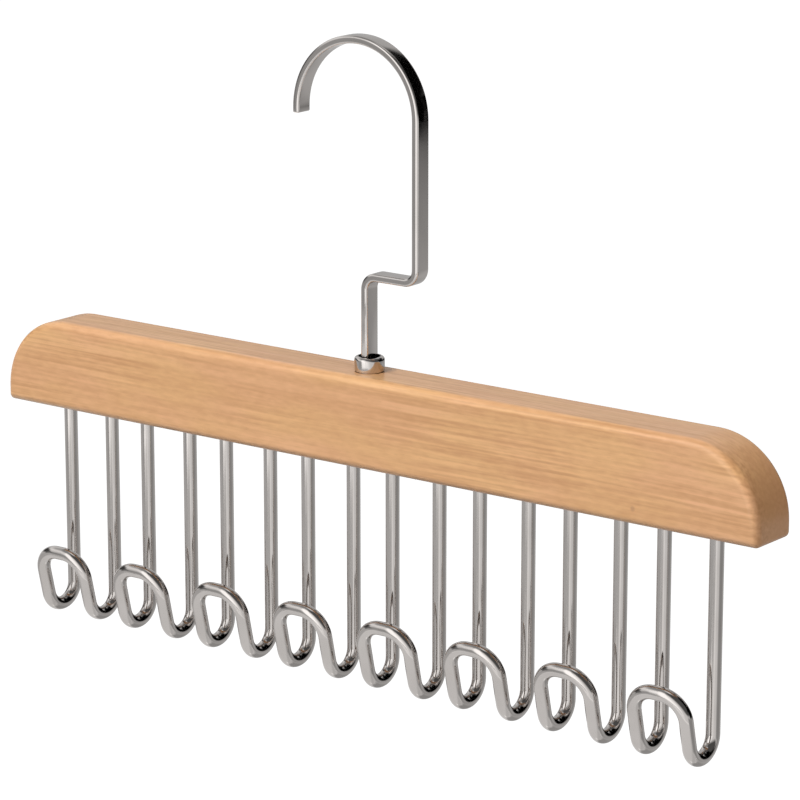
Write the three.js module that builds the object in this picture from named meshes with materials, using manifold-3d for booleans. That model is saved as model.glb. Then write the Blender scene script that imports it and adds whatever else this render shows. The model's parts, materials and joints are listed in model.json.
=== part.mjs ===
// A wooden strap hanger: a bar with a flat swivel hook above it and a row of bent-wire strap hooks below.
// Millimetres, +Z up, +X along the bar, -Y towards the front. The origin is where a rail carries the hook.
import * as THREE from "three";
import { mergeVertices } from "three/addons/utils/BufferGeometryUtils.js";
import Module from "manifold-3d";

// Bar: a straight length of beech with quarter-round ends
const barLength = 280;
const barHeight = 28;
const barThickness = 18.6;
const barEdgeRadius = 2.5; // round-over of every edge
const barFootRadius = 1.6; // easing of the two bottom corners
const barEndFlat = 2.9; // upright stretch of an end, between its foot and its quarter round

// Strap hooks: one wire each, both ends glued into the bar
const strapHookCount = 8;
const wireDiameter = 4.2;
const legMargin = 18.6; // end of the bar to the outermost leg
const legSpacing = 17.45; // between the two legs of one hook
const legDrop = 58.8; // underside of the bar to the centre of the cradle bends
const legWeb = 3.5; // wood left between the leg holes and the swivel bore above them
const cradleRadius = 6.1; // centreline radius of the bends that a strap lies in
const lipLean = THREE.MathUtils.degToRad(13); // the front lip leans out this far from upright
const lipRun = 8.4; // straight rise of the lip
const lipFlat = 2.65; // straight top of the lip, between its two corners

// Swivel hook: round wire rolled flat, but for a headed tail that turns in the bush
const swivelOffset = -1.2; // the hook stands this far off the bar's middle
const hookWidth = 6;
const hookThickness = 2.5;
const hookEdgeRadius = 1; // rolling leaves the strip's edges round
const jogHeight = 29; // top of the bar to the middle of the sideways jog
const jogRun = 10.7;
const jogBendRadius = 4;
const limbRun = 43.6; // straight rise from the jog to the crown
const crownRadius = 22; // centreline radius of the half round that goes over a rail
const tipRun = 1.6;
const tailDiameter = 4.2;
const swageRise = 2; // height over which the round tail flattens out
const headDiameter = 6;
const headHeight = 2.2;

// Bush: a collar on top of the bar, and a sleeve let into it that traps the hook's head
const collarHeight = 4.6;
const collarWall = 1.25;
const collarEdgeRadius = 1.1;
const mouthDepth = 3; // the collar is open this deep around the foot of the hook
const neckLength = 5; // the narrow stretch that the head pulls up against
const sleeveWall = 0.9;
const sleeveSkirt = 3; // how far the sleeve reaches below the head

// Clearances and facets
const glueGap = 0.2; // around a leg or sleeve in its hole, and under a seat
const swivelClearance = 0.3; // around the turning tail and head
const facetTolerance = 0.08; // how far a facet may lie inside a true arc
const holeSides = 20;
const turnedSides = 32;
const cutterOverrun = 1; // a cutter sticks out of the face that it enters by this much

// Values that follow from those above
const wireRadius = wireDiameter / 2;
const barEndRadius = barHeight - barFootRadius - barEndFlat;
const strapHookPitch = (barLength - 2 * legMargin - legSpacing) / (strapHookCount - 1);
const lipCornerRadius = (legSpacing - lipFlat) / 2;

const tailRadius = tailDiameter / 2;
const headRadius = headDiameter / 2;
const stripEdgeRadius = Math.min(hookEdgeRadius, hookThickness / 2 - facetTolerance); // at most a half round
const stripCornerX = hookWidth / 2 - stripEdgeRadius;
const stripCornerY = hookThickness / 2 - stripEdgeRadius;
const stripReach = Math.hypot(stripCornerX, stripCornerY) + stripEdgeRadius; // axis to farthest point
const mouthRadius = stripReach + swivelClearance;
const collarRadius = mouthRadius + collarWall;
const mouthFloor = collarHeight - mouthDepth;
const neckRadius = tailRadius + swivelClearance;
const neckBottom = mouthFloor - neckLength;
const chamberRadius = headRadius + swivelClearance;
const sleeveRadius = chamberRadius + sleeveWall;
const headTop = neckBottom - swivelClearance;
const headBottom = headTop - headHeight;
const sleeveBottom = headBottom - sleeveSkirt;
const boreRadius = sleeveRadius + glueGap;
const boreDepth = glueGap - sleeveBottom;

const legHoleRadius = wireRadius + glueGap;
const legHoleDepth = barHeight - boreDepth - legWeb;

const stripFoot = mouthFloor + swivelClearance;
const crownHeight = jogHeight + jogBendRadius + limbRun;
const railX = swivelOffset + jogRun + 2 * jogBendRadius - crownRadius;
const railZ = crownHeight + crownRadius - hookThickness / 2;

const wasm = await Module();
wasm.setup();

const beech = new THREE.MeshStandardMaterial({ color: 0xd9a978, roughness: 0.45, metalness: 0 });
const chrome = new THREE.MeshStandardMaterial({ color: 0xc9c7c5, roughness: 0.1, metalness: 1 });

function toSolid(geometry) {
  const bare = geometry.clone();
  bare.deleteAttribute("normal");
  bare.deleteAttribute("uv");
  const merged = mergeVertices(bare);
  const mesh = new wasm.Mesh({
    numProp: 3,
    vertProperties: new Float32Array(merged.attributes.position.array),
    triVerts: new Uint32Array(merged.index.array),
  });
  return new wasm.Manifold(mesh);
}

function toGeometry(solid) {
  const mesh = solid.getMesh();
  const geometry = new THREE.BufferGeometry();
  geometry.setAttribute("position", new THREE.BufferAttribute(mesh.vertProperties, mesh.numProp));
  geometry.setIndex(new THREE.BufferAttribute(mesh.triVerts, 1));
  geometry.computeVertexNormals();
  return geometry;
}

// How many chords an arc needs to stay within the facet tolerance
function arcSteps(radius, angle) {
  const widest = 2 * Math.acos(1 - facetTolerance / radius);
  return Math.ceil(Math.abs(angle) / widest);
}

function arcPoints(centreX, centreY, radius, from, to) {
  const steps = arcSteps(radius, to - from);
  return Array.from({ length: steps + 1 }, (_, step) => {
    const angle = from + ((to - from) * step) / steps;
    return new THREE.Vector2(centreX + radius * Math.cos(angle), centreY + radius * Math.sin(angle));
  });
}

// A wire's centreline: straight runs and round bends, with a station only where a section is needed
class BentPath extends THREE.Curve {
  constructor(start, heading) {
    super();
    this.points = [start];
    this.headings = [heading];
  }

  run(length) {
    const heading = this.headings.at(-1);
    this.points.push(this.points.at(-1).clone().addScaledVector(heading, length));
    this.headings.push(heading.clone());
    return this;
  }

  bend(angle, radius, axis) {
    const heading = this.headings.at(-1);
    const spoke = heading.clone().cross(axis).multiplyScalar(radius);
    const centre = this.points.at(-1).clone().sub(spoke);
    const steps = arcSteps(radius, angle);
    for (let step = 1; step <= steps; step += 1) {
      const turn = (angle * step) / steps;
      this.points.push(spoke.clone().applyAxisAngle(axis, turn).add(centre));
      this.headings.push(heading.clone().applyAxisAngle(axis, turn));
    }
    return this;
  }

  get steps() {
    return this.points.length - 1;
  }

  getUtoTmapping(u) {
    return u;
  }

  getPoint(t, target = new THREE.Vector3()) {
    return target.copy(this.points[Math.round(t * this.steps)]);
  }

  getTangent(t, target = new THREE.Vector3()) {
    return target.copy(this.headings[Math.round(t * this.steps)]);
  }
}

function sweep(section, path) {
  return new THREE.ExtrudeGeometry(section, { steps: path.steps, extrudePath: path });
}

// A solid of revolution about Z from [radius, height] pairs or points
function turned(profile) {
  const points = profile.map((point) => (Array.isArray(point) ? new THREE.Vector2(...point) : point));
  return new THREE.LatheGeometry(points, turnedSides).rotateX(Math.PI / 2);
}

// An upright round cutter from one height to another
function drill(radius, bottom, top, x) {
  const depth = top - bottom;
  const cutter = new THREE.CylinderGeometry(radius, radius, depth, holeSides).rotateX(Math.PI / 2);
  return toSolid(cutter.translate(x, 0, bottom + depth / 2));
}

function strapHookX(index) {
  return (index - (strapHookCount - 1) / 2) * strapHookPitch;
}

// The front outline with its edges rounded over, still with square feet
function roundedBlank() {
  const half = barLength / 2;
  const outline = new THREE.Shape([
    new THREE.Vector2(half, -barHeight),
    ...arcPoints(half - barEndRadius, -barEndRadius, barEndRadius, 0, Math.PI / 2),
    ...arcPoints(barEndRadius - half, -barEndRadius, barEndRadius, Math.PI / 2, Math.PI),
    new THREE.Vector2(-half, -barHeight),
  ]);
  const blank = new THREE.ExtrudeGeometry(outline, {
    depth: barThickness - 2 * barEdgeRadius,
    bevelThickness: barEdgeRadius,
    bevelSize: barEdgeRadius,
    bevelOffset: -barEdgeRadius,
    bevelSegments: arcSteps(barEdgeRadius, Math.PI / 2),
  });
  return toSolid(blank.translate(0, 0, barEdgeRadius - barThickness / 2).rotateX(Math.PI / 2));
}

// A block past the bar's faces and top, with the two eased feet
function easedBlock() {
  const half = barLength / 2;
  const outline = new THREE.Shape([
    ...arcPoints(half - barFootRadius, barFootRadius - barHeight, barFootRadius, -Math.PI / 2, 0),
    new THREE.Vector2(half, cutterOverrun),
    new THREE.Vector2(-half, cutterOverrun),
    ...arcPoints(barFootRadius - half, barFootRadius - barHeight, barFootRadius, Math.PI, 1.5 * Math.PI),
  ]);
  const depth = barThickness + 2 * cutterOverrun;
  const block = new THREE.ExtrudeGeometry(outline, { depth, bevelEnabled: false });
  return toSolid(block.translate(0, 0, -depth / 2).rotateX(Math.PI / 2));
}

// The bar, drilled below for the legs and above for the bush
function barGeometry() {
  let bar = roundedBlank().intersect(easedBlock());
  bar = bar.subtract(drill(boreRadius, -boreDepth, cutterOverrun, swivelOffset));
  for (let index = 0; index < strapHookCount; index += 1) {
    for (const side of [-1, 1]) {
      const legX = strapHookX(index) + (side * legSpacing) / 2;
      const hole = drill(legHoleRadius, -barHeight - cutterOverrun, legHoleDepth - barHeight, legX);
      bar = bar.subtract(hole);
    }
  }
  return toGeometry(bar);
}

// Down a leg, round the cradle to the front, up and over the lip, and back the same way
function strapHookGeometry() {
  const legTop = legHoleDepth - barHeight - glueGap;
  const cradleHeight = -barHeight - legDrop;
  const cradleTurn = Math.PI - lipLean;
  const towardsRight = new THREE.Vector3(1, 0, 0);
  const towardsLeft = new THREE.Vector3(-1, 0, 0);
  const lipNormal = new THREE.Vector3(0, -Math.sin(lipLean), Math.cos(lipLean)).cross(towardsRight);
  const section = new THREE.Shape(arcPoints(0, 0, wireRadius, 0, 2 * Math.PI));
  const path = new BentPath(new THREE.Vector3(-legSpacing / 2, 0, legTop), new THREE.Vector3(0, 0, -1))
    .run(legTop - cradleHeight)
    .bend(cradleTurn, cradleRadius, towardsLeft)
    .run(lipRun)
    .bend(Math.PI / 2, lipCornerRadius, lipNormal)
    .run(lipFlat)
    .bend(Math.PI / 2, lipCornerRadius, lipNormal)
    .run(lipRun)
    .bend(cradleTurn, cradleRadius, towardsRight)
    .run(legTop - cradleHeight);
  return sweep(section, path);
}

// The flat strip from its foot in the collar to the tip, joined to the round tail and its head
function swivelHookGeometry() {
  const section = new THREE.Shape([
    ...arcPoints(stripCornerX, stripCornerY, stripEdgeRadius, 0, Math.PI / 2),
    ...arcPoints(-stripCornerX, stripCornerY, stripEdgeRadius, Math.PI / 2, Math.PI),
    ...arcPoints(-stripCornerX, -stripCornerY, stripEdgeRadius, Math.PI, 1.5 * Math.PI),
    ...arcPoints(stripCornerX, -stripCornerY, stripEdgeRadius, 1.5 * Math.PI, 2 * Math.PI),
  ]);
  const towardsBack = new THREE.Vector3(0, 1, 0);
  const towardsFront = new THREE.Vector3(0, -1, 0);
  const path = new BentPath(new THREE.Vector3(0, 0, stripFoot), new THREE.Vector3(0, 0, 1))
    .run(jogHeight - jogBendRadius - stripFoot)
    .bend(Math.PI / 2, jogBendRadius, towardsBack)
    .run(jogRun)
    .bend(Math.PI / 2, jogBendRadius, towardsFront)
    .run(limbRun)
    .bend(Math.PI, crownRadius, towardsFront)
    .run(tipRun);
  const tail = turned([
    [0, headBottom],
    [headRadius, headBottom],
    [headRadius, headTop],
    [tailRadius, headTop],
    [tailRadius, stripFoot],
    [hookThickness / 2, stripFoot + swageRise],
    [0, stripFoot + swageRise],
  ]);
  return toGeometry(toSolid(sweep(section, path)).add(toSolid(tail)));
}

// Collar, neck and sleeve in one turned piece, with its outer edge rounded at the top
function bushGeometry() {
  const roundedRim = arcPoints(
    collarRadius - collarEdgeRadius,
    collarHeight - collarEdgeRadius,
    collarEdgeRadius,
    0,
    Math.PI / 2,
  );
  return turned([
    [chamberRadius, sleeveBottom],
    [sleeveRadius, sleeveBottom],
    [sleeveRadius, glueGap],
    [collarRadius, glueGap],
    ...roundedRim,
    [mouthRadius, collarHeight],
    [mouthRadius, mouthFloor],
    [neckRadius, mouthFloor],
    [neckRadius, neckBottom],
    [chamberRadius, neckBottom],
    [chamberRadius, sleeveBottom],
  ]);
}

function piece(name, geometry, material, x = 0) {
  const mesh = new THREE.Mesh(geometry, material);
  mesh.name = name;
  mesh.position.x = x;
  return mesh;
}

// The bar's top middle is the origin in here, and the hanger then hangs from the rail point
const hanger = new THREE.Group();
hanger.position.set(-railX, 0, -railZ);
hanger.add(piece("wooden_bar", barGeometry(), beech));
hanger.add(piece("swivel_bush", bushGeometry(), chrome, swivelOffset));
hanger.add(piece("swivel_hook", swivelHookGeometry(), chrome, swivelOffset));
const strapHook = strapHookGeometry();
for (let index = 0; index < strapHookCount; index += 1) {
  hanger.add(piece(`strap_hook_${index + 1}`, strapHook, chrome, strapHookX(index)));
}

const strapHanger = new THREE.Group();
strapHanger.add(hanger);

export default strapHanger;
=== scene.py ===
"""How a wooden strap hanger looks: a lacquered beech bar, a flat chromed swivel hook, bent-wire strap hooks.

Metres, +Z up, +X along the bar, -Y towards the front. The origin is where a rail carries the hook.
"""

import json
import math

import bmesh
import bpy
from mathutils import Matrix, Vector


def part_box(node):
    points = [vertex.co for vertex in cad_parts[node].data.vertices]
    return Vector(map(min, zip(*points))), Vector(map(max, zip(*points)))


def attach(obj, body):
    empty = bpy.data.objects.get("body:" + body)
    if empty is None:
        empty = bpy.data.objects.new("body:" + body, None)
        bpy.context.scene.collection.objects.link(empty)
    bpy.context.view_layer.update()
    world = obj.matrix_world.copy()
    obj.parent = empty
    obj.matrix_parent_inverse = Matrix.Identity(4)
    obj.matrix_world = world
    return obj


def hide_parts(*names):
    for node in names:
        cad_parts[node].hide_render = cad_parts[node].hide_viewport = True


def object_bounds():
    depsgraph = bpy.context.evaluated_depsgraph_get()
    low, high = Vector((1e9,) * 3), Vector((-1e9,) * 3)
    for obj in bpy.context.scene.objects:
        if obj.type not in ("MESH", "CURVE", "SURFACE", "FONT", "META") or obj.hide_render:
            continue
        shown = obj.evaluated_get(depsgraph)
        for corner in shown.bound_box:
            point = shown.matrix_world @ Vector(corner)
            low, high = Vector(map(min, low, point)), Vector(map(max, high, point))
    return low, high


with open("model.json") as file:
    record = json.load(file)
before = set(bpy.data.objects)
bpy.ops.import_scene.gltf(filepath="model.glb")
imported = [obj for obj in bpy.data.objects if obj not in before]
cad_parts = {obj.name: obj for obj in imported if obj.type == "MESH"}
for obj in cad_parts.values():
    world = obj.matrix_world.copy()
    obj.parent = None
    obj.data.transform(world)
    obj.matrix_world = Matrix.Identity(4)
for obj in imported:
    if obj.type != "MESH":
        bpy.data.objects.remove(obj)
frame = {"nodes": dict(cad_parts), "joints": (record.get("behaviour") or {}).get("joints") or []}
cad_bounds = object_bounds()

MM = 0.001
X_AXIS = Vector((1, 0, 0))
Y_AXIS = Vector((0, 1, 0))
Z_AXIS = Vector((0, 0, 1))
QUARTER = math.pi / 2
FULL_TURN = 2 * math.pi
ROUND_OFF = 1e-6

# Places that the frame gives
BAR_LOW, BAR_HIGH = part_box("wooden_bar")
BAR_LENGTH, BAR_THICKNESS, BAR_HEIGHT = BAR_HIGH - BAR_LOW
BAR_TOP = Vector(((BAR_LOW.x + BAR_HIGH.x) / 2, 0, BAR_HIGH.z))
SWIVEL_FOOT = Vector((frame["joints"][0]["pos_m"][0], 0, BAR_HIGH.z))
STRAP_HOOK_NODES = sorted(name for name in frame["nodes"] if name.startswith("strap_hook_"))

# Bar
BAR_EDGE_RADIUS = 2.5 * MM
BAR_FOOT_RADIUS = 1.6 * MM
BAR_END_FLAT = 2.9 * MM
BAR_END_RADIUS = BAR_HEIGHT - BAR_FOOT_RADIUS - BAR_END_FLAT
FACE_MARGIN = 0.3 * MM
HOLE_CHAMFER = 0.3 * MM
GLUE_GAP = 0.2 * MM
LEAST_FOOT_SHARE = 0.1

# Strap hooks
WIRE_RADIUS = 2.1 * MM
LEG_SPACING = 17.45 * MM
LEG_DROP = 58.8 * MM
CRADLE_RADIUS = 6.1 * MM
LIP_LEAN = math.radians(13)
LIP_RUN = 8.4 * MM
LIP_FLAT = 2.65 * MM
WIRE_SIDES = 48

# Swivel hook, with heights above the bar's top
HOOK_WIDTH = 5.8 * MM
HOOK_THICKNESS = 2.45 * MM
HOOK_EDGE_RADIUS = 0.8 * MM
# How far the solid strip's corners reach from its middle: the collar's mouth clears them
HOOK_CORNER_REACH = 3.0156 * MM
JOG_HEIGHT = 29 * MM
JOG_RUN = 10.7 * MM
JOG_BEND_RADIUS = 4 * MM
LIMB_RUN = 43.6 * MM
CROWN_RADIUS = 22 * MM
TIP_RUN = 1.6 * MM
TIP_ROUNDING = 0.45 * MM
TAIL_RADIUS = 2.1 * MM
SWAGE_RISE = 2 * MM
HEAD_RADIUS = 3 * MM
HEAD_HEIGHT = 2.2 * MM

# Bush, with heights above the bar's top
COLLAR_HEIGHT = 4.6 * MM
COLLAR_WALL = 1.25 * MM
COLLAR_EDGE_RADIUS = 1.1 * MM
COLLAR_FOOT_RADIUS = 0.25 * MM
MOUTH_DEPTH = 3 * MM
NECK_LENGTH = 5 * MM
SLEEVE_WALL = 0.9 * MM
SLEEVE_SKIRT = 3 * MM
SWIVEL_CLEARANCE = 0.3 * MM
TURNED_SIDES = 96

STRIP_CORNER_X = HOOK_WIDTH / 2 - HOOK_EDGE_RADIUS
STRIP_CORNER_Y = HOOK_THICKNESS / 2 - HOOK_EDGE_RADIUS
MOUTH_RADIUS = HOOK_CORNER_REACH + SWIVEL_CLEARANCE
COLLAR_RADIUS = MOUTH_RADIUS + COLLAR_WALL
MOUTH_FLOOR = COLLAR_HEIGHT - MOUTH_DEPTH
NECK_RADIUS = TAIL_RADIUS + SWIVEL_CLEARANCE
NECK_BOTTOM = MOUTH_FLOOR - NECK_LENGTH
CHAMBER_RADIUS = HEAD_RADIUS + SWIVEL_CLEARANCE
SLEEVE_RADIUS = CHAMBER_RADIUS + SLEEVE_WALL
HEAD_TOP = NECK_BOTTOM - SWIVEL_CLEARANCE
HEAD_BOTTOM = HEAD_TOP - HEAD_HEIGHT
SLEEVE_BOTTOM = HEAD_BOTTOM - SLEEVE_SKIRT
STRIP_FOOT = MOUTH_FLOOR + SWIVEL_CLEARANCE

# Steps on round forms, from fine to coarse
OUTLINE_STEP = math.radians(3)
BEND_STEP = math.radians(4)
COLLAR_STEP = math.radians(7.5)
FILLET_STEP = math.radians(9)
HOLE_STEP = math.radians(10)
ROUNDING_STEP = math.radians(15)

# Edges that turn by more than this stay sharp
SHARP_ANGLE = math.radians(32)


# Mesh helpers

def arc(centre_x, centre_y, radius, start, end, step):
    """Points on an arc, both ends included."""
    count = max(2, math.ceil(abs(end - start) / step - ROUND_OFF))
    angles = [start + (end - start) * i / count for i in range(count + 1)]
    return [(centre_x + radius * math.cos(a), centre_y + radius * math.sin(a)) for a in angles]


def new_object(name, verts, faces, material=None):
    mesh = bpy.data.meshes.new(name)
    mesh.from_pydata(verts, [], faces)
    thing = bpy.data.objects.new(name, mesh)
    bpy.context.scene.collection.objects.link(thing)
    if material:
        mesh.materials.append(material)
    return thing


def finish_piece(piece, body, node):
    """Turns a piece's faces out, smooths all but creases, puts it on its body and hides the CAD node it
    stands for.
    """
    shape = bmesh.new()
    shape.from_mesh(piece.data)
    bmesh.ops.recalc_face_normals(shape, faces=shape.faces)
    shape.to_mesh(piece.data)
    shape.free()
    piece.data.shade_smooth()
    piece.data.set_sharp_from_angle(angle=SHARP_ANGLE)
    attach(piece, body)
    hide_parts(node)


class BentPath:
    """A centreline of straight runs and round bends. A station is a point and a frame of three axes."""

    def __init__(self, start, side, normal):
        self.stations = [(start, Matrix((side, normal, side.cross(normal))).transposed())]

    def run(self, length):
        point, axes = self.stations[-1]
        self.stations.append((point + axes.col[2] * length, axes))
        return self

    def bend(self, angle, radius, axis):
        point, axes = self.stations[-1]
        spoke = axes.col[2].cross(axis) * radius
        centre = point - spoke
        count = math.ceil(angle / BEND_STEP)
        for i in range(1, count + 1):
            turn = Matrix.Rotation(angle * i / count, 3, axis)
            self.stations.append((centre + turn @ spoke, turn @ axes))
        return self


def tube_faces(rings, sides):
    """Faces of a closed tube of rings that each have as many points, with both ends capped."""
    faces = []
    for ring in range(rings - 1):
        near, far = ring * sides, (ring + 1) * sides
        for side in range(sides):
            after = (side + 1) % sides
            faces.append((near + side, near + after, far + after, far + side))
    last = (rings - 1) * sides
    return faces + [tuple(reversed(range(sides))), tuple(range(last, last + sides))]


def loft(stations, sections):
    """Verts and faces of a closed tube with one section of 2D points at each station."""
    verts = [
        point + axes.col[0] * x + axes.col[1] * y
        for (point, axes), section in zip(stations, sections)
        for x, y in section
    ]
    return verts, tube_faces(len(stations), len(sections[0]))


def lathe(profile, centre):
    """Verts and faces of a ring turned about Z from a closed loop of (radius, height)."""
    count = len(profile)
    turns = [FULL_TURN * s / TURNED_SIDES for s in range(TURNED_SIDES)]
    verts = [centre + Vector((r * math.cos(t), r * math.sin(t), h)) for t in turns for r, h in profile]
    faces = []
    for s in range(TURNED_SIDES):
        here, there = s * count, (s + 1) % TURNED_SIDES * count
        for i in range(count):
            after = (i + 1) % count
            faces.append((here + i, there + i, there + after, here + after))
    return verts, faces


def cut_away(piece, cutters):
    """Cuts closed shapes, each as verts and faces, out of a piece."""
    verts = []
    faces = []
    for more_verts, more_faces in cutters:
        faces += [tuple(i + len(verts) for i in face) for face in more_faces]
        verts += more_verts
    tool = new_object("cutters", verts, faces)
    modifier = piece.modifiers.new("cut", "BOOLEAN")
    modifier.solver = "EXACT"
    modifier.object = tool
    cut = bpy.data.meshes.new_from_object(piece.evaluated_get(bpy.context.evaluated_depsgraph_get()))
    piece.modifiers.clear()
    piece.data = cut
    bpy.data.objects.remove(tool)


# Materials

class Shading:
    """A node tree that is written as one call for each node."""

    def __init__(self, owner):
        owner.use_nodes = True
        self.tree = owner.node_tree

    def add(self, kind, inputs=None, **settings):
        node = self.tree.nodes.new("ShaderNode" + kind)
        for name, value in settings.items():
            setattr(node, name, value)
        self.set(node, inputs or {})
        return node

    def set(self, node, inputs):
        for name, value in inputs.items():
            if isinstance(value, bpy.types.NodeSocket):
                self.tree.links.new(value, node.inputs[name])
            else:
                node.inputs[name].default_value = value

    def noise(self, place, size, detail):
        """Noise whose features are about size, three lengths in millimetres."""
        space = self.add("Mapping", {"Vector": place, "Scale": [1 / (length * MM) for length in size]})
        inputs = {"Vector": space.outputs[0], "Scale": 1, "Detail": detail}
        return self.add("TexNoise", inputs).outputs["Fac"]

    def spread(self, value, low, high, to_low=0.0, to_high=1.0):
        """The stretch of a value from low to high, eased into another range and held at its ends."""
        inputs = {"Value": value, "From Min": low, "From Max": high, "To Min": to_low, "To Max": to_high}
        return self.add("MapRange", inputs, interpolation_type="SMOOTHSTEP").outputs["Result"]

    def math(self, operation, *values):
        return self.add("Math", dict(enumerate(values)), operation=operation).outputs[0]

    def mix(self, factor, first, second):
        """A blend of two colours. They are sockets 6 and 7 of a Mix node, and the result is output 2."""
        node = self.add("Mix", data_type="RGBA")
        self.set(node, {0: factor, 6: first, 7: second})
        return node.outputs[2]

    def vector(self, operation, first, second):
        return self.add("VectorMath", {0: first, 1: second}, operation=operation).outputs


def new_material(name):
    material = bpy.data.materials.new(name)
    shade = Shading(material)
    return material, shade, shade.tree.nodes["Principled BSDF"]


WHITE = (1, 1, 1, 1)
BUMP_DEPTH = 0.05 * MM
# Where a noise's values lie: nearly all, most, and their mean
NOISE_SPAN = (0.3, 0.7)
NOISE_MIDDLE = (0.35, 0.65)
NOISE_MEAN = 0.5

CHROME_LIGHT = (0.683, 0.646, 0.621, 1)
CHROME_DULL = (0.624, 0.588, 0.563, 1)
CHROME_ROUGHNESS = (0.06, 0.11)
CHROME_BUMP = 0.02


def chrome_material():
    """Bright plated steel: faint smudges, and a skin that isn't quite even."""
    material, shade, shader = new_material("bright_chrome")
    place = shade.add("TexCoord").outputs["Object"]
    smudges = shade.noise(place, (9, 9, 14), 3)
    skin = shade.noise(place, (3, 3, 8), 1)
    bump = shade.add("Bump", {"Height": skin, "Strength": CHROME_BUMP, "Distance": BUMP_DEPTH})
    shade.set(shader, {
        "Base Color": shade.mix(shade.spread(smudges, *NOISE_SPAN), CHROME_LIGHT, CHROME_DULL),
        "Metallic": 1,
        "Roughness": shade.spread(smudges, *NOISE_SPAN, *CHROME_ROUGHNESS),
        "Normal": bump.outputs[0],
    })
    return material


WOOD_GOLD = (0.785, 0.452, 0.2, 1)
WOOD_ROSE = (0.78, 0.424, 0.213, 1)
WOOD_DARK = (0.56, 0.279, 0.111, 1)
WOOD_FLECK = (0.47, 0.225, 0.09, 1)
WOOD_KNOT = (0.30, 0.135, 0.055, 1)
WOOD_END = (0.5, 0.222, 0.074, 1)
GRAIN_WAVE = 3 * MM
LOG_PLACE = Vector((-469, 77, 122)) * MM
PIN_KNOT = BAR_TOP + Vector((99.2, -9.3, -23)) * MM
KNOT_RADII = (0.3 * MM, 1.1 * MM)
KNOT_SHARE = 0.4
FLECK_SPAN = (0.66, 0.76)
FLECK_SHARE = 0.2
PATCH_STRENGTH = (0.35, 1.3)
PATTERN_SPAN = (0.3, 1.2)
MOTTLING_SHARE = 0.5
END_FACING = (0.3, 0.95)
END_SHARE = 0.5
WOOD_BUMP = 0.12
WOOD_ROUGHNESS = (0.42, 0.5)
LACQUER_WEIGHT = 0.55
LACQUER_ROUGHNESS = 0.2


def beech_material():
    """Beech under satin lacquer: streaks and lines in patches, mottling, ray flecks, a knot, darker ends."""
    material, shade, shader = new_material("satin_beech")
    coordinates = shade.add("TexCoord").outputs
    place = shade.vector("ADD", coordinates["Object"], LOG_PLACE)[0]
    sway = shade.noise(place, (150, 60, 60), 1)
    lift = shade.add("CombineXYZ", {"Z": shade.math("MULTIPLY", sway, GRAIN_WAVE)}).outputs[0]
    grain = shade.vector("ADD", place, lift)[0]
    lines = shade.noise(grain, (190, 1.15, 1.15), 1)
    streaks = shade.noise(grain, (40, 1.2, 1.2), 2)
    patches = shade.spread(shade.noise(place, (50, 14, 14), 1), *NOISE_MIDDLE, *PATCH_STRENGTH)
    mottling = shade.noise(grain, (4, 1, 1), 2)
    tone = shade.noise(place, (40, 14, 14), 2)
    flecks = shade.spread(shade.noise(grain, (3, 0.9, 0.35), 1), *FLECK_SPAN)

    pattern = shade.math("SUBTRACT", shade.math("ADD", lines, streaks), 2 * NOISE_MEAN)
    pattern = shade.math("MULTIPLY_ADD", pattern, patches, NOISE_MEAN)
    pattern = shade.math("MULTIPLY_ADD", mottling, MOTTLING_SHARE, pattern)
    pale = shade.mix(shade.spread(tone, *NOISE_MIDDLE), WOOD_GOLD, WOOD_ROSE)
    colour = shade.mix(shade.spread(pattern, *PATTERN_SPAN), pale, WOOD_DARK)
    colour = shade.mix(shade.math("MULTIPLY", flecks, FLECK_SHARE), colour, WOOD_FLECK)
    knot = shade.vector("DISTANCE", coordinates["Object"], PIN_KNOT)["Value"]
    colour = shade.mix(shade.spread(knot, *KNOT_RADII, KNOT_SHARE, 0), colour, WOOD_KNOT)
    facing = shade.add("SeparateXYZ", {0: coordinates["Normal"]}).outputs["X"]
    end_grain = shade.spread(shade.math("ABSOLUTE", facing), *END_FACING, 0, END_SHARE)
    colour = shade.mix(end_grain, colour, WOOD_END)
    bump = shade.add("Bump", {"Height": pattern, "Strength": WOOD_BUMP, "Distance": BUMP_DEPTH})
    shade.set(shader, {
        "Base Color": colour,
        "Roughness": shade.spread(streaks, *NOISE_SPAN, *WOOD_ROUGHNESS),
        "Coat Weight": LACQUER_WEIGHT,
        "Coat Roughness": LACQUER_ROUGHNESS,
        "Normal": bump.outputs[0],
    })
    return material


# Pieces of the hanger

def bar_outline(inset):
    """The front outline moved in, as (x, z) about the bar's top middle.

    The feet get tighter towards the faces.
    """
    half = BAR_LENGTH / 2 - inset
    low = inset - BAR_HEIGHT
    end = BAR_END_RADIUS - inset
    foot = BAR_FOOT_RADIUS * max(LEAST_FOOT_SHARE, 1 - inset / BAR_EDGE_RADIUS)
    corners = [
        (half - foot, low + foot, foot),
        (half - end, -inset - end, end),
        (end - half, -inset - end, end),
        (foot - half, low + foot, foot),
    ]
    points = []
    for index, (x, z, radius) in enumerate(corners):
        start = (index - 1) * QUARTER
        points += arc(x, z, radius, start, start + QUARTER, OUTLINE_STEP)
    return points


def leg_places():
    """The top ends of all the strap hooks' legs, as (x, height)."""
    places = []
    for node in STRAP_HOOK_NODES:
        low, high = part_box(node)
        middle = (low.x + high.x) / 2
        places += [(middle - LEG_SPACING / 2, high.z), (middle + LEG_SPACING / 2, high.z)]
    return places


def drill(x, stops):
    """A round cutter about an upright axis, as verts and faces, from (height, radius) stops."""
    axes = Matrix.Identity(3)
    stations = [(Vector((x, 0, height)), axes) for height, radius in stops]
    sections = [arc(0, 0, radius, 0, FULL_TURN, HOLE_STEP)[:-1] for height, radius in stops]
    return loft(stations, sections)


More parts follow.
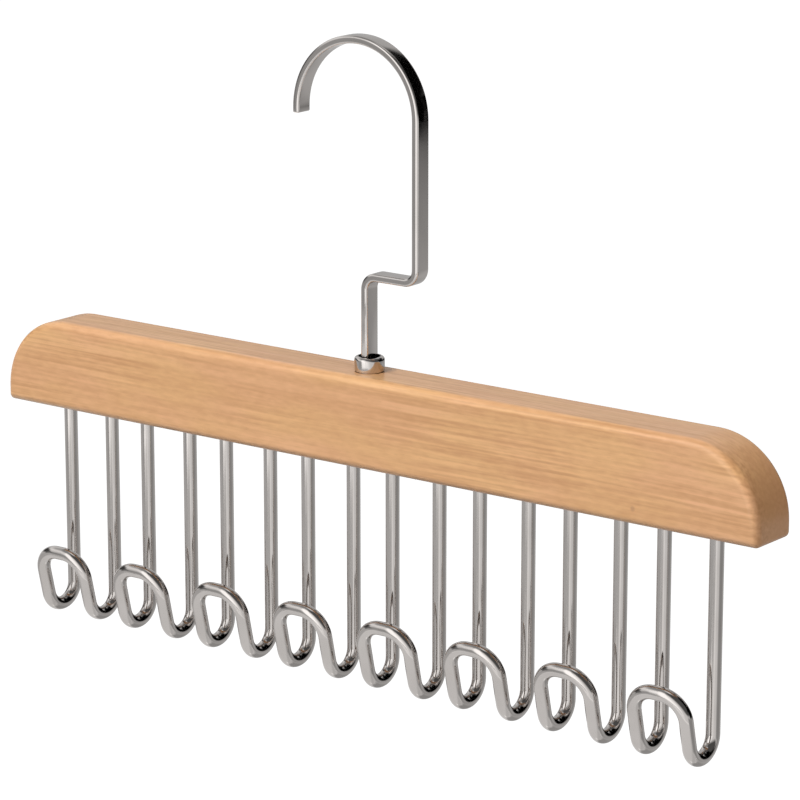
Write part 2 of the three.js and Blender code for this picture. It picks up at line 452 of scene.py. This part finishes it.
def make_bar(material):
    flat = BAR_THICKNESS / 2 - BAR_EDGE_RADIUS
    fillet = arc(BAR_EDGE_RADIUS, -flat, BAR_EDGE_RADIUS, -QUARTER, -2 * QUARTER, FILLET_STEP)
    front = [(BAR_EDGE_RADIUS + FACE_MARGIN, -BAR_THICKNESS / 2)] + fillet + [(0, FACE_MARGIN - flat)]
    rings = front + [(inset, -y) for inset, y in reversed(front)]
    outlines = [bar_outline(inset) for inset, y in rings]
    verts = [
        BAR_TOP + Vector((x, y, z))
        for (inset, y), outline in zip(rings, outlines)
        for x, z in outline
    ]
    bar = new_object("lacquered_bar", verts, tube_faces(len(rings), len(outlines[0])), material)

    hole = WIRE_RADIUS + GLUE_GAP
    underside = BAR_LOW.z
    mouth = [(underside - HOLE_CHAMFER, hole + 2 * HOLE_CHAMFER), (underside + HOLE_CHAMFER, hole)]
    cutters = [drill(x, mouth + [(top + GLUE_GAP, hole)]) for x, top in leg_places()]
    bore = SLEEVE_RADIUS + GLUE_GAP
    bore_floor = BAR_HIGH.z + SLEEVE_BOTTOM - GLUE_GAP
    cutters.append(drill(SWIVEL_FOOT.x, [(bore_floor, bore), (BAR_HIGH.z + GLUE_GAP, bore)]))
    cut_away(bar, cutters)
    finish_piece(bar, "bar", "wooden_bar")


def make_strap_hook(node, material):
    low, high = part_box(node)
    leg = high.z - (BAR_LOW.z - LEG_DROP)
    start = Vector(((low.x + high.x - LEG_SPACING) / 2, 0, high.z))
    lip_up = Vector((0, -math.sin(LIP_LEAN), math.cos(LIP_LEAN)))
    lip_normal = lip_up.cross(X_AXIS)
    corner = (LEG_SPACING - LIP_FLAT) / 2
    path = BentPath(start, X_AXIS, -Y_AXIS)
    path.run(leg).bend(math.pi - LIP_LEAN, CRADLE_RADIUS, -X_AXIS)
    path.run(LIP_RUN).bend(QUARTER, corner, lip_normal)
    path.run(LIP_FLAT).bend(QUARTER, corner, lip_normal)
    path.run(LIP_RUN).bend(math.pi - LIP_LEAN, CRADLE_RADIUS, X_AXIS).run(leg)
    ring = arc(0, 0, WIRE_RADIUS, 0, FULL_TURN, FULL_TURN / WIRE_SIDES)[:-1]
    verts, faces = loft(path.stations, [ring] * len(path.stations))
    hook = new_object("wire_" + node[len("strap_"):], verts, faces, material)
    finish_piece(hook, "bar", node)


def strip_section(inset=0.0):
    """The rolled strip's section, width along x and thickness along y. Inset draws its corners in."""
    points = []
    for index, (side_x, side_y) in enumerate(((1, 1), (-1, 1), (-1, -1), (1, -1))):
        x, y = side_x * STRIP_CORNER_X, side_y * STRIP_CORNER_Y
        start = index * QUARTER
        points += arc(x, y, HOOK_EDGE_RADIUS - inset, start, start + QUARTER, FILLET_STEP)
    return points


def round_section(radius, like):
    """A round section with its points in the same directions as those of another section."""
    return [(radius * math.cos(a), radius * math.sin(a)) for a in (math.atan2(y, x) for x, y in like)]


def make_swivel_hook(material):
    strip = strip_section()
    head = round_section(HEAD_RADIUS, strip)
    tail = round_section(TAIL_RADIUS, strip)
    path = BentPath(SWIVEL_FOOT + Z_AXIS * HEAD_BOTTOM, -Y_AXIS, X_AXIS)
    # The run of no length makes the head's shoulder
    path.run(HEAD_HEIGHT).run(0).run(STRIP_FOOT - HEAD_TOP).run(SWAGE_RISE)
    sections = [head, head, tail, tail]
    path.run(JOG_HEIGHT - JOG_BEND_RADIUS - STRIP_FOOT - SWAGE_RISE)
    path.bend(QUARTER, JOG_BEND_RADIUS, Y_AXIS).run(JOG_RUN)
    path.bend(QUARTER, JOG_BEND_RADIUS, -Y_AXIS).run(LIMB_RUN)
    path.bend(math.pi, CROWN_RADIUS, -Y_AXIS).run(TIP_RUN - TIP_ROUNDING)
    sections += [strip] * (len(path.stations) - len(sections))
    point, axes = path.stations[-1]
    for reach, rise in arc(0, 0, TIP_ROUNDING, 0, QUARTER, ROUNDING_STEP)[1:]:
        path.stations.append((point + axes.col[2] * rise, axes))
        sections.append(strip_section(TIP_ROUNDING - reach))
    hook = new_object("rolled_hook", *loft(path.stations, sections), material)
    finish_piece(hook, "hook", "swivel_hook")


def make_bush(material):
    profile = [
        (CHAMBER_RADIUS, SLEEVE_BOTTOM),
        (SLEEVE_RADIUS, SLEEVE_BOTTOM),
        (SLEEVE_RADIUS, GLUE_GAP),
    ]
    profile += arc(COLLAR_RADIUS - COLLAR_FOOT_RADIUS, GLUE_GAP + COLLAR_FOOT_RADIUS,
                   COLLAR_FOOT_RADIUS, -QUARTER, 0, ROUNDING_STEP)
    profile += arc(COLLAR_RADIUS - COLLAR_EDGE_RADIUS, COLLAR_HEIGHT - COLLAR_EDGE_RADIUS,
                   COLLAR_EDGE_RADIUS, 0, QUARTER, COLLAR_STEP)
    profile += [(MOUTH_RADIUS, COLLAR_HEIGHT), (MOUTH_RADIUS, MOUTH_FLOOR)]
    profile += [(NECK_RADIUS, MOUTH_FLOOR), (NECK_RADIUS, NECK_BOTTOM), (CHAMBER_RADIUS, NECK_BOTTOM)]
    bush = new_object("collar_and_sleeve", *lathe(profile, SWIVEL_FOOT), material)
    finish_piece(bush, "bar", "swivel_bush")


# Stage

CAMERA_AZIMUTH = 37.48
CAMERA_ELEVATION = 14.15
CAMERA_DISTANCE = 1089.9 * MM
CAMERA_AIM = BAR_TOP + Vector((7.66, 3.27, -8.21)) * MM
LENS = 165.84
FLOOR_DROP = 1.6
FLOOR_SIZE = 30
FLOOR_COLOUR = (0.6, 0.6, 0.6, 1)
FLOOR_ROUGHNESS = 0.9
FLOOR_GLOW = 0.84
LAMP_DISTANCE = 1.6
AMBIENT = 0.38
CARD_STEPS = 24
CARD_EDGE_STEPS = 6


def direction(azimuth, elevation):
    """The way to a place in the studio, in degrees. Azimuth 0 is in front of the hanger, 90 at its right."""
    across, up = math.radians(azimuth), math.radians(elevation)
    return Vector((math.sin(across) * math.cos(up), -math.cos(across) * math.cos(up), math.sin(up)))


def aim(thing, target, way, distance):
    """Puts a lamp or camera at a distance from its target, facing it."""
    thing.location = target + way * distance
    thing.rotation_mode = "QUATERNION"
    thing.rotation_quaternion = (-way).to_track_quat("-Z", "Y")
    bpy.context.scene.collection.objects.link(thing)


def make_camera():
    data = bpy.data.cameras.new("camera")
    data.lens = LENS
    camera = bpy.data.objects.new("camera", data)
    aim(camera, CAMERA_AIM, direction(CAMERA_AZIMUTH, CAMERA_ELEVATION), CAMERA_DISTANCE)
    bpy.context.scene.camera = camera


def make_lamp(name, azimuth, elevation, size, power):
    """A square soft lamp that lights surfaces but isn't mirrored in them: the cards are."""
    data = bpy.data.lights.new(name, "AREA")
    data.size = size
    data.energy = power
    lamp = bpy.data.objects.new(name, data)
    lamp.visible_glossy = False
    aim(lamp, BAR_TOP, direction(azimuth, elevation), LAMP_DISTANCE)


def seen_directly(shade):
    """1 for rays that show a surface, straight or in a mirror, and 0 for rays that gather light."""
    path = shade.add("LightPath").outputs
    mirrored = shade.math("MAXIMUM", path["Is Glossy Ray"], path["Is Transmission Ray"])
    return shade.math("MAXIMUM", path["Is Camera Ray"], mirrored)


def make_world():
    world = bpy.data.worlds.new("studio")
    bpy.context.scene.world = world
    shade = Shading(world)
    strength = shade.math("MULTIPLY_ADD", seen_directly(shade), 1 - AMBIENT, AMBIENT)
    shade.set(shade.tree.nodes["Background"], {"Color": WHITE, "Strength": strength})


def make_floor():
    material, shade, shader = new_material("pale_floor")
    shade.set(shader, {
        "Base Color": FLOOR_COLOUR,
        "Roughness": FLOOR_ROUGHNESS,
        "Specular IOR Level": 0,
        "Emission Color": WHITE,
        "Emission Strength": shade.math("MULTIPLY", seen_directly(shade), FLOOR_GLOW),
    })
    half = FLOOR_SIZE / 2
    height = cad_bounds[0].z - FLOOR_DROP
    corners = [(x, y, height) for x, y in ((-half, -half), (half, -half), (half, half), (-half, half))]
    new_object("floor", corners, [(0, 1, 2, 3)], material)


def card_lines(span, feather):
    """A card's grid lines in one direction, each as its share of the span and its cover.

    The cover fades to nothing over feather at both edges. A feather of 0 gives no fade.
    """
    edge = min(0.5, feather / span)
    shares = {edge + (1 - 2 * edge) * step / CARD_STEPS for step in range(CARD_STEPS + 1)}
    for step in range(CARD_EDGE_STEPS):
        fade = edge * step / CARD_EDGE_STEPS
        shares |= {fade, 1 - fade}
    lines = []
    for share in sorted(shares):
        inside = min(share, 1 - share) * span
        lines.append((share, min(1, inside / feather) if feather else 1))
    return lines


def make_card(name, azimuths, elevations, glow, distance, lean=0.0, feather=(8, 8)):
    """A curved card round the hanger that only mirrors see, with edges that fade across and upwards.

    Angles are in degrees. A leaning card's azimuth shifts by lean for each degree above its lower edge.
    """
    wide, tall = azimuths[1] - azimuths[0], elevations[1] - elevations[0]
    columns, rows = card_lines(wide, feather[0]), card_lines(tall, feather[1])
    verts = []
    cover = []
    for up, cover_up in rows:
        for across, cover_across in columns:
            azimuth = azimuths[0] + wide * across + lean * tall * up
            verts.append(BAR_TOP + direction(azimuth, elevations[0] + tall * up) * distance)
            cover.append(cover_across * cover_up)
    line = len(columns)
    starts = [row * line + column for row in range(len(rows) - 1) for column in range(line - 1)]
    faces = [(start, start + 1, start + line + 1, start + line) for start in starts]
    material, shade = new_material(name)[:2]
    clear = shade.add("BsdfTransparent")
    light = shade.add("Emission", {"Color": WHITE, "Strength": glow})
    share = shade.add("Attribute", attribute_name="cover")
    blend = shade.add("MixShader", {0: share.outputs["Fac"], 1: clear.outputs[0], 2: light.outputs[0]})
    shade.set(shade.tree.nodes["Material Output"], {"Surface": blend.outputs[0]})
    card = new_object(name, verts, faces, material)
    card.data.attributes.new("cover", "FLOAT", "POINT").data.foreach_set("value", cover)
    card.visible_camera = False
    card.visible_diffuse = False
    card.visible_shadow = False


def make_cards():
    """What the chrome mirrors: softboxes, grey walls and floors, black flags. Near cards cover far ones."""
    make_card("key_softbox", (-20.5, 16), (-28, 57), 1.51, distance=1.3, lean=-0.25, feather=(8, 22))
    make_card("key_spill", (-16, 60), (-34, 48), 1.25, distance=1.32, lean=-0.55, feather=(26, 24))
    make_card("left_softbox", (-84, -36), (18, 42), 0.96, distance=1.34)
    make_card("left_arc", (-112, -60), (-2, 25), 0.06, distance=1.2, feather=(8, 7))
    make_card("middle_arc", (-64, -36), (-10, 16), 0.17, distance=1.21, lean=-0.8, feather=(6, 6))
    make_card("lower_arc", (-51, -18), (-33, 15), 0.38, distance=1.22, lean=-0.15, feather=(7, 14))
    make_card("left_wall", (-104, -46), (-37, 3), 0.49, distance=1.25)
    make_card("front_rail", (-98, 34), (-20.9, -16), 0.51, distance=1.1, feather=(16, 0.8))
    make_card("right_wall", (71, 150), (-37, -6), 0.32, distance=1.4, feather=(20, 8))
    make_card("right_floor", (64, 132), (-84, -32), 0.6, distance=1.58, feather=(24, 8))
    make_card("right_upper", (62, 270), (-8, 80), 0.09, distance=3.3, lean=-1.25, feather=(32, 10))
    make_card("black_flag", (110, 150), (-7.85, 54), 0, distance=3.0, feather=(8, 0.3))
    make_card("arch_flag", (86, 143), (8, 48), 0, distance=3.02, lean=1.8, feather=(16, 4))
    make_card("low_flag", (140, 188), (-7.85, 14), 0, distance=3.04, feather=(6, 0.3))
    make_card("flag_fringe", (106, 190), (-13, -2), 0.15, distance=3.06, feather=(8, 5.5))
    make_card("rear_floor", (118, 222), (-88, -34), 0.35, distance=1.6, feather=(14, 14))
    make_card("near_floor", (-180, 180), (-90, -26), 0.75, distance=1.64, feather=(0, 8))
    make_card("rear_table", (118, 222), (-60, -13), 0.48, distance=1.62, feather=(14, 5))
    make_card("rear_horizon", (118, 222), (-26, -6), 0.43, distance=3.4, feather=(14, 2))
    make_card("rear_wall", (150, 236), (-7, 62), 0.51, distance=3.1, feather=(20, 8))
    make_card("ceiling", (-180, 180), (36, 90), 0.31, distance=3.6, feather=(0, 18))
    make_card("far_wall", (-180, 180), (-30, 60), 0.77, distance=3.8, feather=(0, 4))


make_camera()
make_world()
make_floor()
make_lamp("key", azimuth=-15, elevation=41, size=0.9, power=23.4)
make_lamp("fill", azimuth=78, elevation=20, size=1.2, power=4.5)
make_cards()

chrome = chrome_material()
make_bar(beech_material())
make_bush(chrome)
make_swivel_hook(chrome)
for node_name in STRAP_HOOK_NODES:
    make_strap_hook(node_name, chrome)

bpy.context.scene.view_settings.view_transform = "Standard"
